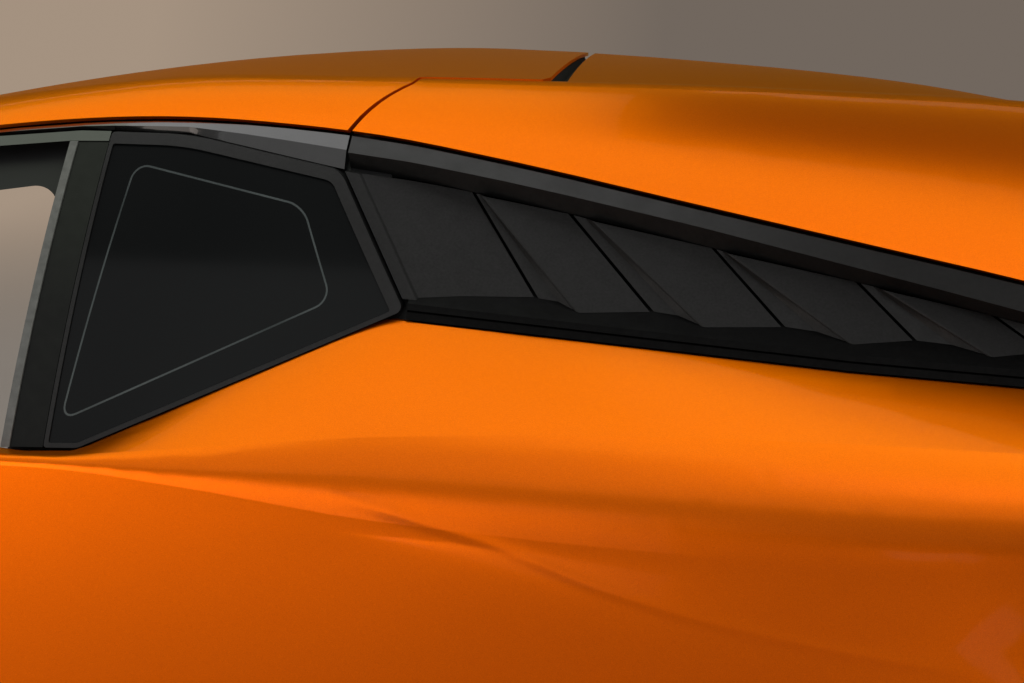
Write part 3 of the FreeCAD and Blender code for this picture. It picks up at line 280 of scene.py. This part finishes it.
primer = cloudy_coat("grey_primer", (0.185, 0.195, 0.20), (0.235, 0.24, 0.245), 0.4)
dress(primer, "b_post", "cabin_bulkhead", "inner_wing_panel", "shoulder_shelf", "rear_end_panel",
      "roof_cant_rail", "sail_cant_rail")

# Side frame: one more pressing in primer, bonded on the post, which carries the window and the louvres. It is
# sprayed satin black over the primer, because it shows between the trims.

frame_black = cloudy_coat("frame_black", (0.006, 0.006, 0.0065), (0.011, 0.011, 0.0115), 0.25)
dress(frame_black, "side_frame")

# Beads, rivets and pins: the inner panels have long beads pressed in against drumming and domed blind rivets
# of steel along their edges, and black push pins hold the liner. Each stands on the face that it is set in.


def set_on(piece, target, start, aim, base, top, height, stretch=0.0, sides=14):
    """Domed head, or a bead when stretched, standing on the first face of the target that the aim meets."""
    found, place, normal, _ = target.ray_cast(Vector(start), Vector(aim).normalized())
    if not found:
        return
    if normal.dot(Vector(aim)) > 0:
        normal.negate()
    head = bmesh.new()
    bmesh.ops.create_cone(head, cap_ends=True, segments=sides, radius1=base, radius2=top, depth=height)
    sunk, rounding = 0.0001, height * 0.35
    crown = [edge for edge in head.edges if all(vert.co.z > 0 for vert in edge.verts)]
    bmesh.ops.bevel(head, geom=crown, offset=rounding, segments=2, profile=0.5, affect="EDGES", material=-1)
    for vert in head.verts:
        vert.co.y += stretch * (1 if vert.co.y > 1e-6 else -1 if vert.co.y < -1e-6 else 0)
    turn = normal.to_track_quat("Z", "Y").to_matrix().to_4x4()
    seat = Matrix.Translation(place + normal * (height / 2 - sunk)) @ turn
    bmesh.ops.transform(head, matrix=seat, verts=head.verts)
    formed = bpy.data.meshes.new("head")
    head.to_mesh(formed)
    head.free()
    piece.from_mesh(formed)
    bpy.data.meshes.remove(formed)


def finish_piece(name, builder, material):
    """Makes the object, gives it its finish and lets it ride with the section."""
    mesh = bpy.data.meshes.new(name)
    builder.to_mesh(mesh)
    builder.free()
    mesh.materials.append(material)
    piece = bpy.data.objects.new(name, mesh)
    bpy.context.collection.objects.link(piece)
    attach(piece, "root")


bead_form = {"base": 0.013, "top": 0.007, "height": 0.004, "sides": 24}
beads = bmesh.new()
for x in (0.20, 0.37, 0.54, 0.71, 0.88, 1.05, 1.25, 1.42):
    set_on(beads, nodes["inner_wing_panel"], (x, 0.3, 0.09), (0, -1, 0), stretch=0.13, **bead_form)
set_on(beads, nodes["rear_end_panel"], (1.8, -0.044, 0.06), (-1, 0, 0), stretch=0.06, **bead_form)
finish_piece("pressed_beads", beads, primer)

rivet_form = {"base": 0.0048, "top": 0.0030, "height": 0.0018}
rivet_start, rivet_pitch, rivets_in_row = 0.09, 0.111, 14
rivets = bmesh.new()
for step in range(rivets_in_row):
    for z in (-0.165, 0.288):
        place = (rivet_start + step * rivet_pitch, 0.3, z)
        set_on(rivets, nodes["inner_wing_panel"], place, (0, -1, 0), **rivet_form)
for z in (-0.14, -0.06, 0.02, 0.10, 0.22, 0.28):
    for y in (-0.155, -0.020):
        set_on(rivets, nodes["b_post"], (-0.5, y, z), (1, 0, 0), **rivet_form)
    set_on(rivets, nodes["rear_end_panel"], (1.8, 0.078, z), (-1, 0, 0), **rivet_form)
blind, tree, shader = new_material("rivet_steel")
set_shader(shader, Metallic=1.0)
worn = object_noise(tree, 260, 2)
ramp_to(tree, worn, shader.inputs["Base Color"], 0.30, 0.42)
ramp_to(tree, worn, shader.inputs["Roughness"], 0.30, 0.45)
finish_piece("blind_rivets", rivets, blind)

pin_form = {"base": 0.009, "top": 0.006, "height": 0.003, "sides": 18}
wheel_x, wheel_z = 1.15, -0.13
pins = bmesh.new()
for angle in range(15, 180, 25):
    for y in (-0.205, -0.075):
        outwards = (math.cos(math.radians(angle)), 0, math.sin(math.radians(angle)))
        set_on(pins, nodes["wheel_arch_liner"], (wheel_x, y, wheel_z), outwards, **pin_form)
pin_plastic, tree, shader = new_material("pin_plastic")
set_shader(shader, Specular_IOR_Level=0.4)
ramp_to(tree, object_noise(tree, 120, 2), shader.inputs["Base Color"], 0.012, 0.020)
ramp_to(tree, object_noise(tree, 60, 2), shader.inputs["Roughness"], 0.38, 0.46)
finish_piece("liner_pins", pins, pin_plastic)

# Painted skins: moulded composite under a metallic orange base coat and a clear lacquer. The flakes are a few
# tenths of a millimetre, and the lacquer has the faint waviness of sprayed paint.


def orange_lacquer(name):
    """Metallic orange under clear lacquer; returns it with its tree, shader and flake bump."""
    paint, tree, shader = new_material(name)
    set_shader(shader, Metallic=1.0, Roughness=0.33, Specular_Tint=(1, 1, 0.03, 1), Coat_Weight=0.08,
               Coat_Roughness=0.05, Coat_IOR=1.5)
    flake = object_noise(tree, 1500, 1)
    ramp_to(tree, flake, shader.inputs["Base Color"], (0.84, 0.134, 0.001), (0.95, 0.172, 0.002), 0.35, 0.65)
    flecks = bump_from(tree, shader, flake, 0.06, 0.0002)
    bump_from(tree, shader, object_noise(tree, 160, 1), 0.03, 0.0003, "Coat Normal")
    return paint, tree, shader, flecks


dress(orange_lacquer("orange_paint")[0], "roof_side_panel", "sail_panel", "engine_cover")

# Rear wing: the same paint on a moulding whose tool has one more line. It is a shallow rounded ridge that
# falls from the shoulder crease by the window down to the flare over the wheel, and fades out at both ends.

ridge_front, ridge_tail, ridge_low, ridge_high = 0.27, 0.87, 0.18, 0.33
ridge_spread, ridge_height = 0.006, 0.0007
paint, tree, shader, flecks = orange_lacquer("wing_paint")
axes = object_axes(tree)
along = stretch_over(tree, axes.outputs["X"], ridge_front, ridge_tail)
fall = tree.nodes.new("ShaderNodeFloatCurve")
line = fall.mapping.curves[0]
line.points[0].location, line.points[1].location = (0.0, 0.93), (1.0, 0.03)
for place in ((0.108, 0.818), (0.288, 0.618), (0.465, 0.367), (0.697, 0.155), (0.866, 0.067)):
    line.points.new(*place)
fall.mapping.update()
tree.links.new(along.outputs["Result"], fall.inputs["Value"])
height_at = stretch_over(tree, fall.outputs["Value"], 0.0, 1.0, ridge_low, ridge_high)
above = sum_of(tree, "SUBTRACT", axes.outputs["Z"], height_at.outputs["Result"])
offset = sum_of(tree, "DIVIDE", above, ridge_spread)
ridge = sum_of(tree, "EXPONENT", sum_of(tree, "MULTIPLY", sum_of(tree, "MULTIPLY", offset, offset), -1))
ends = tree.nodes.new("ShaderNodeValToRGB")
ends.color_ramp.elements[0].color = (0, 0, 0, 1)
ends.color_ramp.elements[1].color = (0, 0, 0, 1)
for full_height_at in (0.12, 0.85):
    ends.color_ramp.elements.new(full_height_at).color = (1, 1, 1, 1)
tree.links.new(along.outputs["Result"], ends.inputs["Fac"])
raised = sum_of(tree, "MULTIPLY", ridge, ends.outputs["Color"])
bump_from(tree, shader, raised.node, 1.0, ridge_height, under=flecks)
dress(paint, "rear_wing_panel")

# Roof gutter: an extruded rubber channel bonded under the roof's rear edge and the engine cover's front edge,
# which drains the shut line between them.

roof, cover = nodes["roof_side_panel"], nodes["engine_cover"]
shut_line_x, shut_line_slope = 0.4375, -0.023
gutter_start, gutter_end = 0.234, 0.699
half_shut_line, half_channel, lip_reach = 0.0085, 0.006, 0.024
channel_depth, rubber_wall, glue_gap = 0.006, 0.0012, 0.0004


def gutter_section(y):
    """Corners of the channel across the shut line, tucked under both skins."""
    line_x = shut_line_x + shut_line_slope * (y - 0.2)

    def under(skin, x):
        found, place, _, _ = skin.ray_cast(Vector((x, y, 0.5)), Vector((0, 0, 1)))
        if not found:
            raise ValueError(f"no skin over the gutter at {x:.4f}, {y:.4f}")
        return Vector((x, y, place.z - glue_gap))

    roof_side = [under(roof, line_x - lip_reach), under(roof, line_x - half_shut_line)]
    cover_side = [under(cover, line_x + half_shut_line), under(cover, line_x + lip_reach)]
    bottom_z = min(roof_side[1].z, cover_side[0].z) - channel_depth
    bottom = [Vector((line_x - half_channel, y, bottom_z)), Vector((line_x + half_channel, y, bottom_z))]
    return [*roof_side, *bottom, *cover_side]


strips = 5
gutter = bmesh.new()
bmesh.ops.create_grid(gutter, x_segments=strips, y_segments=24, size=0.5)
for vert in gutter.verts:
    section = gutter_section(gutter_start + (vert.co.y + 0.5) * (gutter_end - gutter_start))
    vert.co = section[round((vert.co.x + 0.5) * strips)]
bmesh.ops.recalc_face_normals(gutter, faces=gutter.faces[:])
if sum(face.normal.z for face in gutter.faces) < 0:
    bmesh.ops.reverse_faces(gutter, faces=gutter.faces[:])
bmesh.ops.solidify(gutter, geom=gutter.faces[:], thickness=rubber_wall)
rubber, tree, shader = new_material("gutter_rubber")
set_shader(shader, Roughness=0.7, Specular_IOR_Level=0.25)
ramp_to(tree, object_noise(tree, 150, 3), shader.inputs["Base Color"], 0.006, 0.012)
bump_from(tree, shader, object_noise(tree, 900, 2), 0.2, 0.0002)
finish_piece("roof_gutter", gutter, rubber)

# Gloss black trim: the drip strip, the cover over the cant rail and the vent's tail finisher. They are
# injection-moulded in black plastic under a clear hard coat, polished, and clipped to the side frame.

gloss, tree, shader = new_material("gloss_black")
set_shader(shader, Coat_Weight=0.6, Coat_Roughness=0.04)
ramp_to(tree, object_noise(tree, 90, 3), shader.inputs["Base Color"], 0.004, 0.008)
ramp_to(tree, object_noise(tree, 30, 2), shader.inputs["Roughness"], 0.14, 0.20)
dress(gloss, "door_drip_strip", "cant_rail_cover", "vent_tail_finisher")

# Cover of the B-pillar: a black moulding clipped to the side frame behind the door's edge. Its face is fine
# and almost matt, so that it hardly mirrors the room.

pillar, tree, shader = new_material("pillar_black")
set_shader(shader, Specular_IOR_Level=0.12, Coat_Weight=0.05, Coat_Roughness=0.1)
ramp_to(tree, object_noise(tree, 90, 3), shader.inputs["Base Color"],
        (0.0035, 0.0038, 0.0035), (0.006, 0.0064, 0.006))
ramp_to(tree, object_noise(tree, 30, 2), shader.inputs["Roughness"], 0.30, 0.38)
dress(pillar, "b_pillar_cover")

# Sill and back plate of the vent: the same black plastic as the slats, moulded smooth and deep matt. Their
# colour is darker than the slats': painted shade, for the shade under the rail and deep in the vent. The
# slats' feet are set in the sill, and the plate is fixed to the side frame.

sill_shade, tree, shader = new_material("sill_black")
set_shader(shader, Specular_IOR_Level=0.06)
# Painted shade: this base colour is darker than the other black plastics, for the shade under the rail.
ramp_to(tree, object_noise(tree, 220, 3), shader.inputs["Base Color"], 0.0015, 0.0035)
ramp_to(tree, object_noise(tree, 40, 2), shader.inputs["Roughness"], 0.50, 0.62)
bump_from(tree, shader, object_noise(tree, 2600, 1), 0.10, 0.0001)
dress(sill_shade, "vent_sill", "vent_back_plate")

# Satin black trim: the window's moulding, extruded and bent round the pane, and the vent's upper rail, which
# is moulded. Both have a fine even matt and are clipped to the side frame.

satin, tree, shader = new_material("satin_black")
set_shader(shader, Specular_IOR_Level=0.3)
ramp_to(tree, object_noise(tree, 220, 3), shader.inputs["Base Color"], 0.007, 0.011)
ramp_to(tree, object_noise(tree, 40, 2), shader.inputs["Roughness"], 0.36, 0.46)
bump_from(tree, shader, object_noise(tree, 2600, 1), 0.12, 0.0001)
dress(satin, "glass_moulding", "vent_rail")

# Grained black pieces: the slats and their pillar cover, the side intake with its vanes, and the wheel-arch
# liner, moulded in glass-filled polyamide with a fine leather-like grain from the tool.

grained, tree, shader = new_material("grained_black")
set_shader(shader, Specular_IOR_Level=0.25)
ramp_to(tree, object_noise(tree, 400, 3), shader.inputs["Base Color"], 0.007, 0.013)
ramp_to(tree, object_noise(tree, 60, 2), shader.inputs["Roughness"], 0.48, 0.60)
bump_from(tree, shader, object_noise(tree, 1500, 2), 0.5, 0.00025)
dress(grained, "vent_pillar_cover", "intake_duct", "wheel_arch_liner",
      *[f"vent_slat_{i}" for i in range(1, 6)], *[f"intake_vane_{i}" for i in range(1, 4)])

# Seal of the B-pillar: a soft extruded rubber lip, pushed on along the pillar's front edge, where the door
# rubs on it. It is coloured a mid grey, lighter than the black trims round it.

seal, tree, shader = new_material("seal_rubber")
set_shader(shader, Roughness=0.6, Specular_IOR_Level=0.3)
ramp_to(tree, object_noise(tree, 120, 3), shader.inputs["Base Color"], 0.085, 0.125)
bump_from(tree, shader, object_noise(tree, 900, 2), 0.2, 0.0002)
dress(seal, "b_pillar_seal")

# Door striker: a zinc-plated steel bar on its plate, screwed to the door-shut post. The plating has the faint
# streaks of the brushed steel under it.

steel, tree, shader = new_material("striker_steel")
set_shader(shader, Metallic=1.0)
brushed = object_noise(tree, 220, 3, (1, 1, 12))
ramp_to(tree, brushed, shader.inputs["Base Color"], 0.50, 0.62)
ramp_to(tree, brushed, shader.inputs["Roughness"], 0.22, 0.36)
dress(steel, "door_striker")

# Quarter window: a curved pane of privacy glass, nearly black from outside, bonded into its moulding. A thin
# grey-green line follows the pane's border with rounded corners: a painted highlight along the edge of the
# pane's printed border, laid on the glass as a thin sheet.

tint, tree, shader = new_material("tinted_glass")
set_shader(shader, Specular_IOR_Level=0.13)
ramp_to(tree, object_noise(tree, 3, 1), shader.inputs["Base Color"],
        (0.004, 0.0048, 0.0052), (0.007, 0.0082, 0.0085))
ramp_to(tree, object_noise(tree, 8, 2), shader.inputs["Roughness"], 0.10, 0.13)
dress(tint, "quarter_glass")


def on_pane(piece, lift):
    """Lays the piece's vertices on the pane's outer face, lifted off it by the given lift."""
    for vert in piece.verts:
        outside, inwards = Vector((vert.co.x, -1, vert.co.z)), Vector((0, 1, 0))
        found, place, normal, _ = nodes["quarter_glass"].ray_cast(outside, inwards)
        if found:
            vert.co = place + normal * lift


line_corners = ((0.0125, 0.3590), (0.2547, 0.4652), (0.2121, 0.5499), (0.0335, 0.5885))
corner_radius, line_width, line_lift, line_thickness, longest_chord = 0.016, 0.0017, 0.00012, 0.0001, 0.02
band = bmesh.new()
corners = [band.verts.new((x, 0, z)) for x, z in line_corners]
band.faces.new(corners)
bmesh.ops.bevel(band, geom=corners, offset=corner_radius, segments=8, profile=0.5, affect="VERTICES",
                material=-1)
inner = band.faces[:]
bmesh.ops.inset_region(band, faces=inner, thickness=line_width, use_even_offset=True, use_boundary=True)
bmesh.ops.delete(band, geom=inner, context="FACES_ONLY")
long_edges = [edge for edge in band.edges if edge.calc_length() > longest_chord]
bmesh.ops.subdivide_edges(band, edges=long_edges, cuts=16, use_grid_fill=True)
on_pane(band, line_lift)
bmesh.ops.recalc_face_normals(band, faces=band.faces[:])
if sum(face.normal.y for face in band.faces) > 0:
    bmesh.ops.reverse_faces(band, faces=band.faces[:])
bmesh.ops.solidify(band, geom=band.faces[:], thickness=line_thickness)
# Painted highlight: the line's grey-green stands for light caught along the edge of the printed border.
edge_highlight_paint, tree, shader = new_material("print_enamel")
set_shader(shader, Specular_IOR_Level=0.3)
ramp_to(tree, object_noise(tree, 12, 2), shader.inputs["Base Color"],
        (0.026, 0.035, 0.035), (0.070, 0.086, 0.086))
ramp_to(tree, object_noise(tree, 300, 2), shader.inputs["Roughness"], 0.3, 0.4)
finish_piece("glass_print_line", band, edge_highlight_paint)

# Light groups: the window and the vent's pieces have lamps of their own, and so have the skins round them.
# The right-hand ceiling lights only the lower skins, so that the sail darkens towards the tail.

upper_skins = ("sail_panel", "engine_cover", "roof_side_panel")
vent_pieces = ("vent_", "quarter_glass", "glass_", "cant_rail", "shoulder_shelf")
for piece in bpy.data.objects:
    if piece.type == "MESH" and piece != studio:
        lit_section.objects.link(piece)
        if piece.name.startswith(vent_pieces):
            lit_vent.objects.link(piece)
        else:
            lit_skins.objects.link(piece)
            if piece.name not in upper_skins:
                lit_lower.objects.link(piece)
